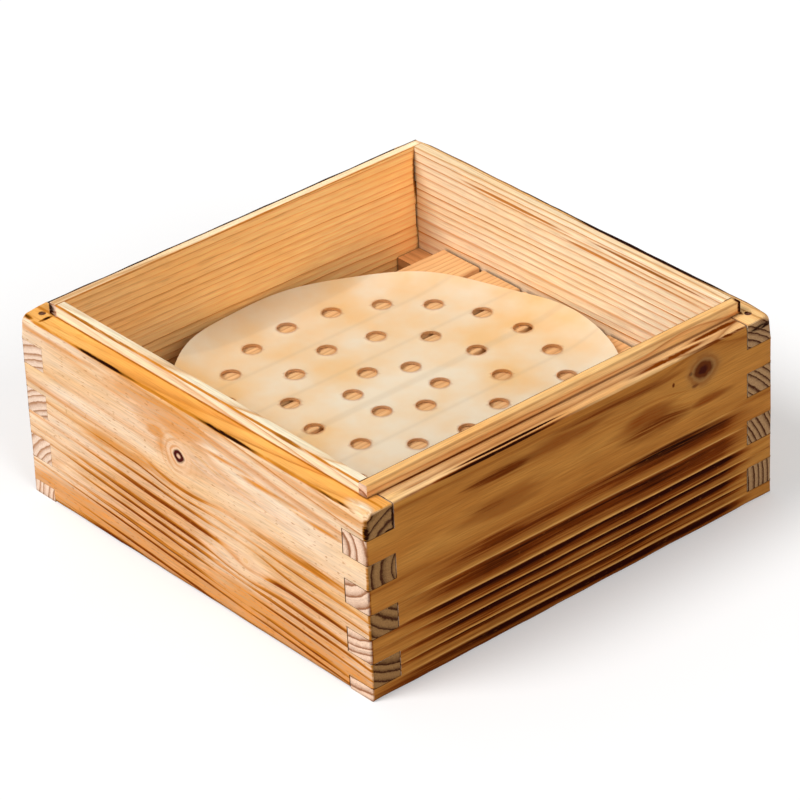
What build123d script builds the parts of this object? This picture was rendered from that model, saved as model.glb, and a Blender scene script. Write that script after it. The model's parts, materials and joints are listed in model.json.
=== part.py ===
from build123d import *

import os
from math import ceil, floor, pi

# Square wooden steamer basket that stacks on others of its size. Millimetres, +Z up.
# Origin: middle of the foot edge, on the surface that the basket stands on.
# The front and back walls run along X, the left and right walls along Y.

# Box
outer_length = 250.0  # along X
outer_width = 250.0  # along Y
wall_thickness = 16.0
shelf_height = 98.0  # foot edge up to the shelf that the next basket stands on
edge_radius = 1.2  # arrises rounded by hand and wear

# Stacking rim, a lip inside the shelf, and the rebate in the foot that drops over it
shelf_width = 10.5
lip_height = 6.5
lip_edge_radius = 0.7
stacking_side_clearance = 0.5
stacking_top_clearance = 0.5

# Finger joints, counted down from the shelf, so the lowest finger is what is left over
finger_height = 13.0
finger_clearance = 0.1

# Slatted floor on two cleats
floor_height = 55.0  # top of the slats above the foot edge
slat_width = 27.0
slat_gap = 2.8
slat_thickness = 8.0
slat_side_gap = 20.0  # least steam gap beside the outer slats
slat_end_clearance = 1.0
slat_edge_radius = 0.8
cleat_width = 14.0
cleat_height = 12.0
cleat_end_clearance = 0.4

# Nails: one down through the fingers at each corner, the others out of sight below the floor
nail_clearance = 0.05
nail_sink = 0.6  # heads lie this far under the wood
nail_point_length = 2.0
corner_nail_diameter = 2.2
corner_nail_head_diameter = 3.6
corner_nail_head_thickness = 1.0
corner_nail_length = 50.0
corner_nail_lip_gap = 0.7  # between the head and the lip
brad_diameter = 1.4
brad_head_diameter = 2.6
brad_head_thickness = 0.6
brad_cover = 4.0  # wood left beyond each brad's point

# Round perforated liner, laid loose on the slats
liner_side_clearance = 2.0
liner_seat_gap = 0.3
liner_thickness = 1.0
liner_hole_diameter = 9.5
liner_hole_pitch = 25.5
liner_ring_spacing = 30.0
liner_ring_inset = 26.0  # edge of the liner to the outer ring of holes

# Sizes that follow
inner_length = outer_length - 2 * wall_thickness
inner_width = outer_width - 2 * wall_thickness
lip_thickness = wall_thickness - shelf_width
lip_length = outer_length - 2 * shelf_width
lip_width = outer_width - 2 * shelf_width
rebate_length = lip_length + 2 * stacking_side_clearance
rebate_width = lip_width + 2 * stacking_side_clearance
rebate_height = lip_height + stacking_top_clearance

finger_tops = [shelf_height - n * finger_height for n in range(ceil(shelf_height / finger_height))]
finger_levels = [(max(0.0, top - finger_height), top) for top in finger_tops]
cross_levels = finger_levels[0::2]  # fingers of the front and back walls
side_levels = finger_levels[1::2]  # fingers of the left and right walls

slat_pitch = slat_width + slat_gap
slat_count = floor((inner_length - 2 * slat_side_gap + slat_gap) / slat_pitch)
slat_length = inner_width - 2 * slat_end_clearance
slat_places = [(n - (slat_count - 1) / 2) * slat_pitch for n in range(slat_count)]
cleat_length = inner_length - 2 * cleat_end_clearance
cleat_top = floor_height - slat_thickness
cleat_bottom = cleat_top - cleat_height
cleat_middle = (inner_width - cleat_width) / 2

corner_nail_inset = shelf_width - corner_nail_lip_gap - corner_nail_head_diameter / 2
slat_brad_length = cleat_height + slat_thickness - brad_cover
cleat_brad_length = cleat_width + wall_thickness - brad_cover

liner_radius = min(inner_length, inner_width) / 2 - liner_side_clearance
outer_ring_radius = liner_radius - liner_ring_inset

tolerance = 0.01

os.makedirs("parts", exist_ok=True)


def save(piece, name):
    piece.part.label = name
    export_step(piece.part, f"parts/{name}.step")


def at(edges, axis, place):
    return edges.filter_by_position(axis, place - tolerance, place + tolerance)


def make_nail(diameter, head_diameter, head_thickness, length):
    # Head under Z = 0, shank and point down the Z axis
    with BuildPart() as nail:
        with BuildSketch(Plane.XZ):
            with BuildLine():
                Polyline(
                    (0, 0),
                    (head_diameter / 2, 0),
                    (head_diameter / 2, -head_thickness),
                    (diameter / 2, -head_thickness),
                    (diameter / 2, nail_point_length - length),
                    (0, -length),
                    close=True,
                )
            make_face()
        revolve(axis=Axis.Z)
    return nail.part


def make_nail_hole(diameter, head_diameter, head_thickness, length):
    # The bore that a nail fills, open above its sunk head
    with BuildPart() as hole:
        with BuildSketch(Plane.XY.offset(-length - nail_clearance)):
            Circle(diameter / 2 + nail_clearance)
        extrude(amount=length + nail_clearance)
        with BuildSketch(Plane.XY.offset(-head_thickness)):
            Circle(head_diameter / 2 + nail_clearance)
        extrude(amount=head_thickness + 2 * nail_sink)
    return hole.part


corner_nail_size = (
    corner_nail_diameter,
    corner_nail_head_diameter,
    corner_nail_head_thickness,
    corner_nail_length,
)
slat_brad_size = (brad_diameter, brad_head_diameter, brad_head_thickness, slat_brad_length)
cleat_brad_size = (brad_diameter, brad_head_diameter, brad_head_thickness, cleat_brad_length)
corner_nail_hole = make_nail_hole(*corner_nail_size)
slat_brad_hole = make_nail_hole(*slat_brad_size)
cleat_brad_hole = make_nail_hole(*cleat_brad_size)

corner_nail_places = [
    Location((x_side * (outer_length / 2 - corner_nail_inset),
              y_side * (outer_width / 2 - corner_nail_inset),
              shelf_height - nail_sink))
    for x_side in (-1, 1)
    for y_side in (-1, 1)
]

# Brads up through a cleat, one under the middle of each slat end
slat_brad_places = [
    Location((x, side * cleat_middle, cleat_bottom + nail_sink), (180, 0, 0))
    for x in slat_places
    for side in (-1, 1)
]

# Brads through a cleat into its wall, under the gaps between slats
cleat_brad_gaps = sorted({1, slat_count // 2, slat_count - 1})
cleat_brad_places = [
    Location(((gap - slat_count / 2) * slat_pitch,
              side * (inner_width / 2 - cleat_width + nail_sink),
              (cleat_top + cleat_bottom) / 2), (side * 90, 0, 0))
    for gap in cleat_brad_gaps
    for side in (-1, 1)
]


def make_cross_wall(side):
    # Wall along X; side is -1 at the front and 1 at the back
    face = side * outer_width / 2
    middle = side * (outer_width - wall_thickness) / 2
    with BuildPart() as wall:
        with BuildSketch():
            with Locations((0, middle)):
                Rectangle(outer_length, wall_thickness)
        extrude(amount=shelf_height)

        # Lip, which stops against the lips of the side walls
        with BuildSketch(Plane.XY.offset(shelf_height)):
            with Locations((0, side * (inner_width + lip_thickness) / 2)):
                Rectangle(inner_length, lip_thickness)
        extrude(amount=lip_height)

        # Sockets for the side walls' fingers
        for bottom, top in side_levels:
            with BuildSketch(Plane.XY.offset(bottom - finger_clearance / 2)):
                with Locations(*[(end * (outer_length - wall_thickness) / 2, middle) for end in (-1, 1)]):
                    Rectangle(wall_thickness, wall_thickness)
            extrude(amount=top - bottom + finger_clearance, mode=Mode.SUBTRACT)

        # Rebate in the foot
        with BuildSketch():
            Rectangle(rebate_length, rebate_width)
        extrude(amount=rebate_height, mode=Mode.SUBTRACT)

        # Rounded arrises
        outer = wall.edges().filter_by(Axis.X)
        long_edges = at(at(outer, Axis.Y, face), Axis.Z, 0) + at(at(outer, Axis.Y, face), Axis.Z, shelf_height)
        end_edges = ShapeList()
        for end in (-1, 1):
            end_face = end * outer_length / 2
            end_edges += at(at(wall.edges().filter_by(Axis.Z), Axis.X, end_face), Axis.Y, face)
            end_edges += at(at(wall.edges().filter_by(Axis.Y), Axis.X, end_face), Axis.Z, shelf_height)
        fillet(long_edges + end_edges, edge_radius)
        fillet(at(wall.edges().filter_by(Axis.X), Axis.Z, shelf_height + lip_height), lip_edge_radius)

        with Locations(*corner_nail_places):
            add(corner_nail_hole, mode=Mode.SUBTRACT)
        with Locations(*cleat_brad_places):
            add(cleat_brad_hole, mode=Mode.SUBTRACT)
    return wall


def make_side_wall(side):
    # Wall along Y; side is -1 at the left and 1 at the right
    face = side * outer_length / 2
    middle = side * (outer_length - wall_thickness) / 2
    with BuildPart() as wall:
        with BuildSketch():
            with Locations((middle, 0)):
                Rectangle(wall_thickness, outer_width)
        extrude(amount=shelf_height)

        # Lip, which runs through at the corners
        with BuildSketch(Plane.XY.offset(shelf_height)):
            with Locations((side * (inner_length + lip_thickness) / 2, 0)):
                Rectangle(lip_thickness, lip_width)
        extrude(amount=lip_height)

        # Sockets for the fingers of the front and back walls
        for bottom, top in cross_levels:
            with BuildSketch(Plane.XY.offset(bottom - finger_clearance / 2)):
                with Locations(*[(middle, end * (outer_width - wall_thickness) / 2) for end in (-1, 1)]):
                    Rectangle(wall_thickness, wall_thickness)
            extrude(amount=top - bottom + finger_clearance, mode=Mode.SUBTRACT)

        # Rebate in the foot
        with BuildSketch():
            Rectangle(rebate_length, rebate_width)
        extrude(amount=rebate_height, mode=Mode.SUBTRACT)

        # Rounded arrises
        outer = wall.edges().filter_by(Axis.Y)
        long_edges = at(at(outer, Axis.X, face), Axis.Z, 0) + at(at(outer, Axis.X, face), Axis.Z, shelf_height)
        end_edges = ShapeList()
        for end in (-1, 1):
            end_face = end * outer_width / 2
            end_edges += at(at(wall.edges().filter_by(Axis.Z), Axis.Y, end_face), Axis.X, face)
            end_edges += at(at(wall.edges().filter_by(Axis.X), Axis.Y, end_face), Axis.Z, 0)
        fillet(long_edges + end_edges, edge_radius)
        fillet(wall.faces().sort_by(Axis.Z)[-1].edges(), lip_edge_radius)

        with Locations(*corner_nail_places):
            add(corner_nail_hole, mode=Mode.SUBTRACT)
    return wall


# Walls
save(make_cross_wall(-1), "front_wall")
save(make_cross_wall(1), "back_wall")
save(make_side_wall(-1), "left_wall")
save(make_side_wall(1), "right_wall")

# Cleats under the slat ends
for name, side in (("front_cleat", -1), ("back_cleat", 1)):
    with BuildPart() as cleat:
        with BuildSketch(Plane.XY.offset(cleat_bottom)):
            with Locations((0, side * cleat_middle)):
                Rectangle(cleat_length, cleat_width)
        extrude(amount=cleat_height)
        with Locations(*slat_brad_places):
            add(slat_brad_hole, mode=Mode.SUBTRACT)
        with Locations(*cleat_brad_places):
            add(cleat_brad_hole, mode=Mode.SUBTRACT)
    save(cleat, name)

# Floor slats, left to right
for number, x in enumerate(slat_places, start=1):
    with BuildPart() as slat:
        with BuildSketch(Plane.XY.offset(cleat_top)):
            with Locations((x, 0)):
                Rectangle(slat_width, slat_length)
        extrude(amount=slat_thickness)
        fillet(slat.edges().filter_by(Axis.Y), slat_edge_radius)
        with Locations(*slat_brad_places):
            add(slat_brad_hole, mode=Mode.SUBTRACT)
    save(slat, f"floor_slat_{number}")

# Nails and brads
for name, size, places in (
    ("corner_nails", corner_nail_size, corner_nail_places),
    ("slat_brads", slat_brad_size, slat_brad_places),
    ("cleat_brads", cleat_brad_size, cleat_brad_places),
):
    nail_shape = make_nail(*size)
    with BuildPart() as nails:
        with Locations(*places):
            add(nail_shape)
    save(nails, name)

# Liner with rings of steam holes
with BuildPart() as liner:
    with BuildSketch(Plane.XY.offset(floor_height + liner_seat_gap)):
        Circle(liner_radius)
        for ring in range(floor(outer_ring_radius / liner_ring_spacing) + 1):
            ring_radius = outer_ring_radius - ring * liner_ring_spacing
            hole_count = 2 * round(pi * ring_radius / liner_hole_pitch)
            if hole_count > 0:
                with PolarLocations(ring_radius, hole_count):
                    Circle(liner_hole_diameter / 2, mode=Mode.SUBTRACT)
    extrude(amount=liner_thickness)
save(liner, "liner")
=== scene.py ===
import json
from functools import partial
from math import cos, inf, pi, radians, sin

import bpy
from mathutils import Matrix, Vector


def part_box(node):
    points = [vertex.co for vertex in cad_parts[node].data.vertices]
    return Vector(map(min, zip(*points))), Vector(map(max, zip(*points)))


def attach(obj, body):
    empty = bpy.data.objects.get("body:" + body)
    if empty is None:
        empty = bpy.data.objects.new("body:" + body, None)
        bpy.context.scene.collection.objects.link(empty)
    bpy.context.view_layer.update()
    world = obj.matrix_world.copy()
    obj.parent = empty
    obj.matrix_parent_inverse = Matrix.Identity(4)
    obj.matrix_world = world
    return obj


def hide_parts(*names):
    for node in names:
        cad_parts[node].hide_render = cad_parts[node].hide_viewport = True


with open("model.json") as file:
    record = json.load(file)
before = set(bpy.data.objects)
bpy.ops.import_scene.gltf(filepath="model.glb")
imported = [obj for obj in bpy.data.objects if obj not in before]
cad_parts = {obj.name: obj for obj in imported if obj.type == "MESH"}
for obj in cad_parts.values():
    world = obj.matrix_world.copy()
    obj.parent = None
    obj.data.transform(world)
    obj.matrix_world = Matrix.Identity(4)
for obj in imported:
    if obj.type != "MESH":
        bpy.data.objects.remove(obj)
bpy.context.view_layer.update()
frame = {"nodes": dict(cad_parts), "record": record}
bpy.ops.object.select_all(action="DESELECT")
print("frame loaded")

mm = 0.001

# Sizes that the pieces share, read from the frame
wallLow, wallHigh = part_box("front_wall")
half = wallHigh.x
inner = half - (wallHigh.y - wallLow.y)
rimTop = wallHigh.z
shelfTop = [mount["pos_m"][2] for mount in frame["record"]["mounts"] if mount["name"] == "stacking_shelf"][0]


def hexColour(text):
    values = [int(text[i:i + 2], 16) / 255 for i in (1, 3, 5)]
    return [v / 12.92 if v <= 0.04045 else ((v + 0.055) / 1.055) ** 2.4 for v in values] + [1.0]


def addNode(tree, kind, inputs=None, stops=None, **settings):
    # Inputs go by name or number. MapRange: 0 the value, 1 and 2 its range, 3 and 4 the range that
    # it becomes, else 0 to 1. Mix: 0 the share, 6 and 7 two colours, or 2 and 3 two numbers.
    made = tree.nodes.new("ShaderNode" + kind)
    for name, value in settings.items():
        setattr(made, name, value)
    for key, value in (inputs or {}).items():
        if isinstance(value, bpy.types.NodeSocket):
            tree.links.new(value, made.inputs[key])
        else:
            made.inputs[key].default_value = value
    if stops:
        ramp = made.color_ramp.elements
        ramp[0].position = stops[0][0]
        ramp[1].position = stops[-1][0]
        ramp[1].color = [stops[-1][1]] * 3 + [1]
        ramp[0].color = [stops[0][1]] * 3 + [1]
        for place, value in stops[1:-1]:
            ramp.new(place).color = [value] * 3 + [1]
    return made.outputs


def newMaterial(name):
    material = bpy.data.materials.new(name)
    material.use_nodes = True
    tree = material.node_tree
    return material, tree, partial(addNode, tree), tree.nodes["Principled BSDF"]


def fromSpot(add, place, spot, reach):
    # How far a point lies from a spot, where 1 is the spot's reach each way
    moved = [-s / r for s, r in zip(spot, reach)]
    span = add("Mapping", {"Vector": place, "Location": moved, "Scale": [1 / r for r in reach]})[0]
    return add("VectorMath", {0: span}, operation="LENGTH")["Value"]


def cellNoises(add, place, kinds):
    # Noises stretched along the grain, each with its cell in millimetres and its detail
    noises = {}
    for kind, (cell, detail) in kinds.items():
        cellPlace = add("Mapping", {"Vector": place, "Scale": [1 / c for c in cell]})[0]
        noises[kind] = add("TexNoise", {"Vector": cellPlace, "Scale": 1, "Detail": detail})[0]
    return noises


# Fir boards. Each has the grain of a log: rings round a pith that runs along the board, pushed
# aside by its knots. Lengths are in millimetres: along the board, through it from the inner face
# (0) to the outer (16), and up from the foot.
# The pith's place is through and up, and the core is a radius and the ring gap within it. Tones go
# from pale wood to late wood. Stops are pairs of a share and a strength: late and burn across one
# ring, broad and flameUp over the board's height, flameAlong over its length. The inner face's painted
# light is how much brighter that face is painted at the board's two ends, standing in for light on it.
# A knot parts the grain within a reach each way, by a strength, and flame is the share that gets to
# it. Its core, halo and swirl (left, right and reach) count in its own size, and its tones are those
# of halo, edge and core.
# A mark is a place, its reach each way, and how far it is charred and toasted. Without char it is a
# soft stain. Marks noted as painted shade darken creases, a lip's end and the foot, where shade falls.
# A pale spot is worn, and also a painted highlight where light catches a corner or arris.
firBoards = {
    "front_wall": {
        "pith": (-8, 74), "taper": 0.013, "gap": 5.2, "phase": 0.3, "slope": 0.076, "sway": 0.9,
        "outer": ("#FFE5C8", "#F6C07A", "#D9842A"),
        "inner": ("#F6D3A2", "#E9B779", "#C98B4A"),
        "top": ("#FFBF6A", "#F4A347", "#CE8030"),
        "lip": ("#FFF2D4", "#FFE6BC", "#DDA05C"),
        "toast": "#E08C28", "char": "#883A04", "warmth": 0.5, "end": ("#9E7548", "#401C06"),
        "dashes": 0.55, "ridge": ("#FFE8C8", 0.6),
        "burn": ((0, 0.03), (0.3, 0.1), (0.5, 0.4), (0.7, 0.85), (0.84, 1.08), (0.92, 1.14), (0.97, 0.1),
                 (1, 0.03)),
        "flameUp": ((0, 1.35), (0.15, 1.3), (0.25, 1.18), (0.36, 1.05), (0.45, 0.85), (0.54, 0.75),
                    (0.59, 0.45), (0.65, 0.1), (1, 0.12)),
        "flameAlong": ((0, 0.2), (0.1, 0.35), (0.2, 0.7), (0.3, 1.05), (0.5, 1.15), (0.56, 0.66),
                       (0.65, 0.5), (0.7, 0.8), (0.85, 1), (0.96, 0.7), (1, 0.6)),
        "knots": (
            {"at": (-7, 70.6), "parts": (22, 14, 0.9), "flame": 0.6, "size": (3.5, 3.2), "core": 0.85,
             "halo": 2.2, "swirl": (0.75, 0.2, 6), "tones": ("#FAD0A8", "#480400", "#EDBE9A")},
            {"at": (38, 35), "parts": (18, 7, 0.8), "flame": 0.1, "size": (1.7, 1.1), "core": 0.85,
             "halo": 3, "swirl": (0.2, 0.2, 5), "tones": ("#FAD2A6", "#F0BE88", "#F3C596")},
        ),
        "marks": (
            ((-60, 16, 98), (32, 1.7, 1.2), 2.4, 4),
            ((31, 16, 98), (30, 1.8, 1.2), 2.4, 4),
            ((103, 16, 97.8), (28, 1.1, 1.1), 1.3, 3.4),
            ((0, 16, 98), (400, 1.6, 1.3), 0.3, 2.2),
            # Painted shade along the crease where the shelf meets the lip, with a little char
            ((0, 5.4, 98), (400, 0.9, 0.8), 0.2, 1.7),
            ((0, 5.5, 104.5), (400, 1.1, 1.0), 0.2, 1.9),
            ((-75, 5.5, 104.5), (46, 1.2, 1.4), 0.6, 2),
            ((60, 5.5, 104.5), (16, 1.4, 1.6), 0.7, 2),
            ((-121, 14.5, 98), (6, 1.6, 2), 1.1, 2.6),
            ((-111.5, 10, 98), (1.3, 5, 1.2), 1.1, 2.6),
            ((-125, 16, 50), (1.4, 1.6, 60), 1.1, 2.6),
            ((125, 16, 90), (2.6, 2.8, 9), 1.5, 3),
            ((125, 16, 44), (1.8, 1.9, 54), 0.5, 1.9),
            ((125, 0.3, 91), (2.2, 1.0, 7), 2.2, 3),
            ((125, 2.6, 85.2), (2.2, 3, 0.9), 2, 3),
            ((-10, 16, 91), (70, 8, 10), 0, 0.72),
            ((-4, 16, 86), (38, 8, 6), 0, 0.75),
            ((-23, 16, 78), (8, 8, 4.6), 0, 0.78),
            ((-27, 16, 82), (17, 8, 6), 0, 0.5),
            ((-47, 16, 90), (32, 8, 4), 0, 0.5),
            ((-20, 16, 72), (4.5, 8, 6), 0, 0.6),
            ((-95, 16, 92), (60, 8, 2.6), 0, 0.85),
            ((90, 16, 93), (60, 8, 4), 0, 0.7),
            ((25, 16, 83.5), (34, 8, 2.2), 0, 0.9),
            ((62, 16, 81), (34, 8, 2.2), 0, 0.9),
            ((96, 16, 77.5), (26, 8, 2.2), 0, 1.0),
            ((-50, 16, 54), (60, 8, 5), 0, 0.85),
            ((0, 16, 4), (400, 8, 24), 0, 0.8),
            # Darker along the foot: some char and toast, and painted contact shade where the wall meets the
            # floor
            ((0, 16, 0.3), (400, 3, 2.4), 0.5, 2),
        ),
        # Pale spot on the shelf's near corner: wear and a painted highlight on the rounded corner
        "bared": (((117, 12, 98), (11, 4.5, 2)),),
    },
    "right_wall": {
        "pith": (-4, 75), "gap": 6.4, "core": (46.3, 9.45), "phase": 0.74, "uneven": 0.14,
        "slope": 0.004, "sway": 0.7,
        # Outer face painted darker and browner than the other boards': partly flame, partly painted shade
        # for the side turned away from the key lamp
        "outer": ("#C1843C", "#AC6826", "#86440C"),
        "inner": ("#F2C58E", "#E3A968", "#BC7C3C"),
        "top": ("#FFD296", "#E29A4C", "#8A4818"),
        "lip": ("#FFD08C", "#F2A44C", "#C4682A"),
        "toast": "#7C3600", "char": "#2A0600", "warmth": 0.16,
        "end": ("#FFDCC0", "#A06A48"), "endRings": 1.7,
        "dashes": 0.12, "ridge": ("#EDB262", 0.9),
        "burn": ((0, 0.15), (0.035, 0.98), (0.1, 1.22), (0.26, 1.08), (0.44, 0.66), (0.62, 0.46),
                 (0.8, 0.56), (0.89, 0.22), (0.93, 0), (0.99, 0), (1, 0.15)),
        "broad": ((0, 0), (0.34, 0), (0.38, 0.9), (0.54, 0.9), (0.6, 0)),
        "flameUp": ((0, 1.3), (0.1, 1.2), (0.3, 1.12), (0.42, 1.12), (0.47, 0.85), (0.54, 0.72), (0.59, 0.3),
                    (0.66, 0.2), (0.72, 0.1), (0.8, 0.08), (0.86, 0.3), (0.92, 0.25), (1, 0.12)),
        "flameAlong": ((0, 0.2), (0.08, 0.38), (0.18, 0.74), (0.28, 1.02), (0.45, 0.94), (0.62, 1.08),
                       (0.87, 1.05), (0.91, 0.6), (0.95, 0.2), (1, 0.1)),
        "knots": (
            {"at": (80, 86.6), "parts": (17, 12, 0.8), "flame": 0.7, "size": (5.4, 4.6), "core": 1.05,
             "halo": 1.6, "swirl": (0.7, 0.6, 3.2), "tones": ("#86603A", "#5E2A06", "#3C0C00")},
        ),
        "marks": (
            ((-40, 13.4, 98), (38, 1.0, 1.2), 2.4, 4),
            ((-45, 16, 97.6), (46, 1.0, 1.1), 1.6, 3),
            ((57, 16, 53.6), (46, 4, 3.2), 1.25, 2.4),
            ((-75, 16, 2), (75, 4, 6), 0.3, 1.3),
            ((48, 16, 73), (26, 4, 10), 0, 0.8),
            ((50, 16, 69), (28, 4, 6), 0.25, 1.1),
            ((-45, 16, 69), (38, 4, 7), 0, 0.6),
            ((-52, 16, 71), (18, 4, 3), 0.1, 0.7),
            ((-46, 16, 86), (28, 4, 3.4), 0.35, 1.2),
            ((0, 16, 86.5), (66, 4, 5), 0, 0.75),
            ((24, 16, 91), (52, 4, 3.4), 0.15, 1.0),
            ((0, 16, 98), (400, 1.4, 1.2), 0.1, 1.3),
            ((90, 16, 98), (32, 1.6, 1.3), 0.6, 2.6),
            # Painted shade along the crease where the shelf meets the lip, with a little char in the next
            # mark
            ((0, 5.4, 98), (400, 1.1, 1.0), 0, 0.6),
            ((-50, 5.4, 98), (90, 1.1, 0.9), 0.1, 1.3),
            ((0, 5.5, 104.5), (400, 1.2, 1.1), 0, 0.5),
            ((0, 0, 104.5), (400, 1.0, 1.0), 0.2, 1.5),
            ((62, 12, 98), (32, 2.2, 1), 0.05, 1.4),
            ((96, 8.6, 98), (24, 1.8, 1), 0.2, 1.6),
            ((-125, 16, 44), (1.6, 1.8, 54), 0.4, 1.6),
            ((72, 16, 87.3), (1.4, 1, 1.3), 1.1, 2),
            ((75, 16, 80), (2.8, 1, 1.3), 0.8, 2),
            ((61, 16, 86), (1.1, 1, 1.5), 0.6, 1.5),
            ((84, 16, 69.5), (14, 4, 3), 0, 0.8),
            # Painted shade at the lip's back end by the corner, with some char
            ((114.5, 4, 102), (2.4, 5, 5), 1.8, 3),
            ((116, 10, 98), (9, 3, 2), 0.5, 1.4),
        ),
        # Pale spots on the shelf's near corner and along the outer arris: wear and painted highlight
        "bared": (((-109, 12, 98), (14, 5, 1)), ((40, 16, 98), (60, 1.4, 1.2))),
    },
    "left_wall": {
        "pith": (-22, -5), "gap": 3.6, "phase": 0.1, "slope": 0.01, "sway": 0.8,
        "outer": ("#EDBB7F", "#DFA162", "#B2702F"),
        # Inner face painted brighter towards the back end, as painted light
        "inner": ("#FFCF8C", "#FFC071", "#D0833C"), "innerFade": (1, 1.22),
        "top": ("#FFD08A", "#F5B566", "#C98238"),
        "lip": ("#FFE9C2", "#F8CC8E", "#CC8C48"),
        "toast": "#C67A32", "char": "#4A1E06", "warmth": 0.4, "end": ("#FFE2CA", "#BE8A66"),
        "dashes": 0.1, "ridge": ("#F8D6A0", 0.6),
        "flameUp": ((0, 0.85), (0.4, 0.8), (0.6, 0.4), (0.75, 0.1), (0.9, 0.35), (1, 0.3)),
        "flameAlong": ((0, 0.15), (0.2, 0.8), (0.5, 1), (0.8, 0.8), (1, 0.2)),
        "marks": (
            ((20, 16, 98), (35, 2, 1.6), 1.0, 2),
            ((0, 16, 98), (400, 3, 1.4), 6, 6),
            ((0, 5.6, 104.5), (400, 1.5, 1.6), 3, 5),
            ((0, 0, 104.5), (400, 0.9, 0.9), 0.1, 1.2),
            ((114, 3, 101), (2, 6, 6), 0.3, 1.2),
            ((-114.5, 5, 100), (2.4, 5, 5), 1.5, 3),
            ((109, 0, 89), (1.8, 1.8, 15), 0.9, 2.6),
            ((-125, 16, 50), (1.4, 1.6, 60), 1.1, 2.6),
        ),
    },
    "back_wall": {
        "pith": (-45, 10), "gap": 3.3, "phase": 0, "slope": -0.008, "sway": 0.8,
        "outer": ("#F0C48E", "#E4AA6C", "#B87A3A"),
        # Inner face painted a little brighter towards the right end, as painted light
        "inner": ("#FFF0D4", "#FFDDAC", "#D8851A"), "innerFade": (1, 1.08),
        "top": ("#FFD79C", "#F6BD72", "#CC8840"),
        "lip": ("#FFE6BE", "#F9CA8E", "#CC8642"),
        "toast": "#CB8440", "char": "#52240A", "warmth": 0.4, "end": ("#B48C62", "#441C06"),
        "dashes": 0.15, "ridge": ("#F8D6A0", 0.6),
        "late": ((0, 0.3), (0.06, 0.02), (0.5, 0.05), (0.76, 0.35), (0.86, 1), (0.95, 1), (1, 0.3)),
        "flameUp": ((0, 0.8), (0.4, 0.8), (0.6, 0.35), (0.75, 0.1), (0.9, 0.3), (1, 0.3)),
        "flameAlong": ((0, 0.2), (0.25, 0.9), (0.5, 1), (0.8, 0.8), (1, 0.2)),
        "marks": (
            ((-30, 16, 98), (40, 2, 1.6), 1.0, 2),
            # Darker in the inside corner of the shelf beside the right lip's end
            ((112, 5.4, 98.5), (4.5, 1.6, 2.5), 1.6, 3),
            ((96, 16, 98), (34, 1.8, 1.6), 1.2, 2.4),
            ((44, 16, 98), (60, 4.4, 1.6), 6, 6),
            ((0, 16, 98), (400, 2.4, 1.3), 1.2, 3),
            ((0, 5.5, 104.5), (400, 1.0, 1.0), 0.1, 1.4),
            ((125, 9, 94), (3, 9, 1.8), 1.3, 2),
            ((58, 0, 100.6), (44, 2.5, 0.9), 0.5, 2.8),
            ((40, 0, 95), (60, 2.5, 0.8), 0, 1.6),
            ((-30, 0, 99), (50, 2.5, 0.9), 0, 1.4),
        ),
    },
}

# What a board has where it doesn't say otherwise
plainBoard = {
    "taper": 0, "core": (0, inf), "uneven": 0.4, "innerFade": (1, 1), "endRings": 1,
    "late": ((0, 0.3), (0.07, 0.03), (0.5, 0.06), (0.82, 0.45), (0.94, 1), (1, 0.3)),
    "burn": ((0, 0.1), (0.05, 0.6), (0.15, 1), (0.45, 0.7), (0.7, 0.6), (0.88, 0.4), (0.94, 0), (1, 0.1)),
    "broad": ((0, 0), (1, 0)),
    "knots": (),
    "bared": (),
}

# What all the boards share: each noise's cell in millimetres along, through and up the board, and
# its detail, and stops across one ring
fir = {
    "noises": {
        "sway": ((150, 60, 38), 1),
        "ripple": ((36, 10, 6), 2),
        "tone": ((95, 40, 17), 3),
        "blotch": ((70, 25, 11), 3),
        "fibre": ((15, 0.7, 0.7), 3),
        "dash": ((3.8, 0.8, 0.8), 0),
        "edge": ((3.4, 3.4, 3.4), 2),
        "pore": ((0.6, 0.6, 0.6), 2),
    },
    "streakCell": (70, 4.5, 1.2),
    "unevenCells": 0.11,  # for each millimetre out from the pith
    "ripple": 0.25,
    "broadBurn": ((0, 0.6), (0.15, 0.85), (0.5, 0.75), (0.8, 0.3), (0.93, 0.12), (1, 0.5)),
    "ridge": ((0, 0), (0.9, 0), (0.94, 1), (0.985, 1), (1, 0)),
    "arcs": ((0, 0.7), (0.06, 0.1), (0.4, 0.12), (0.7, 0.5), (0.88, 1), (0.96, 1), (1, 0.7)),
    "scorch": "#240902",
    "canal": "#B8702C",
    # Dust and painted shade in the hollows: its colour, and how far the occlusion looks
    "dust": "#4A2208",
    "dustReach": 2.5 * mm,
    "relief": 0.35 * mm,
}


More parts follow.
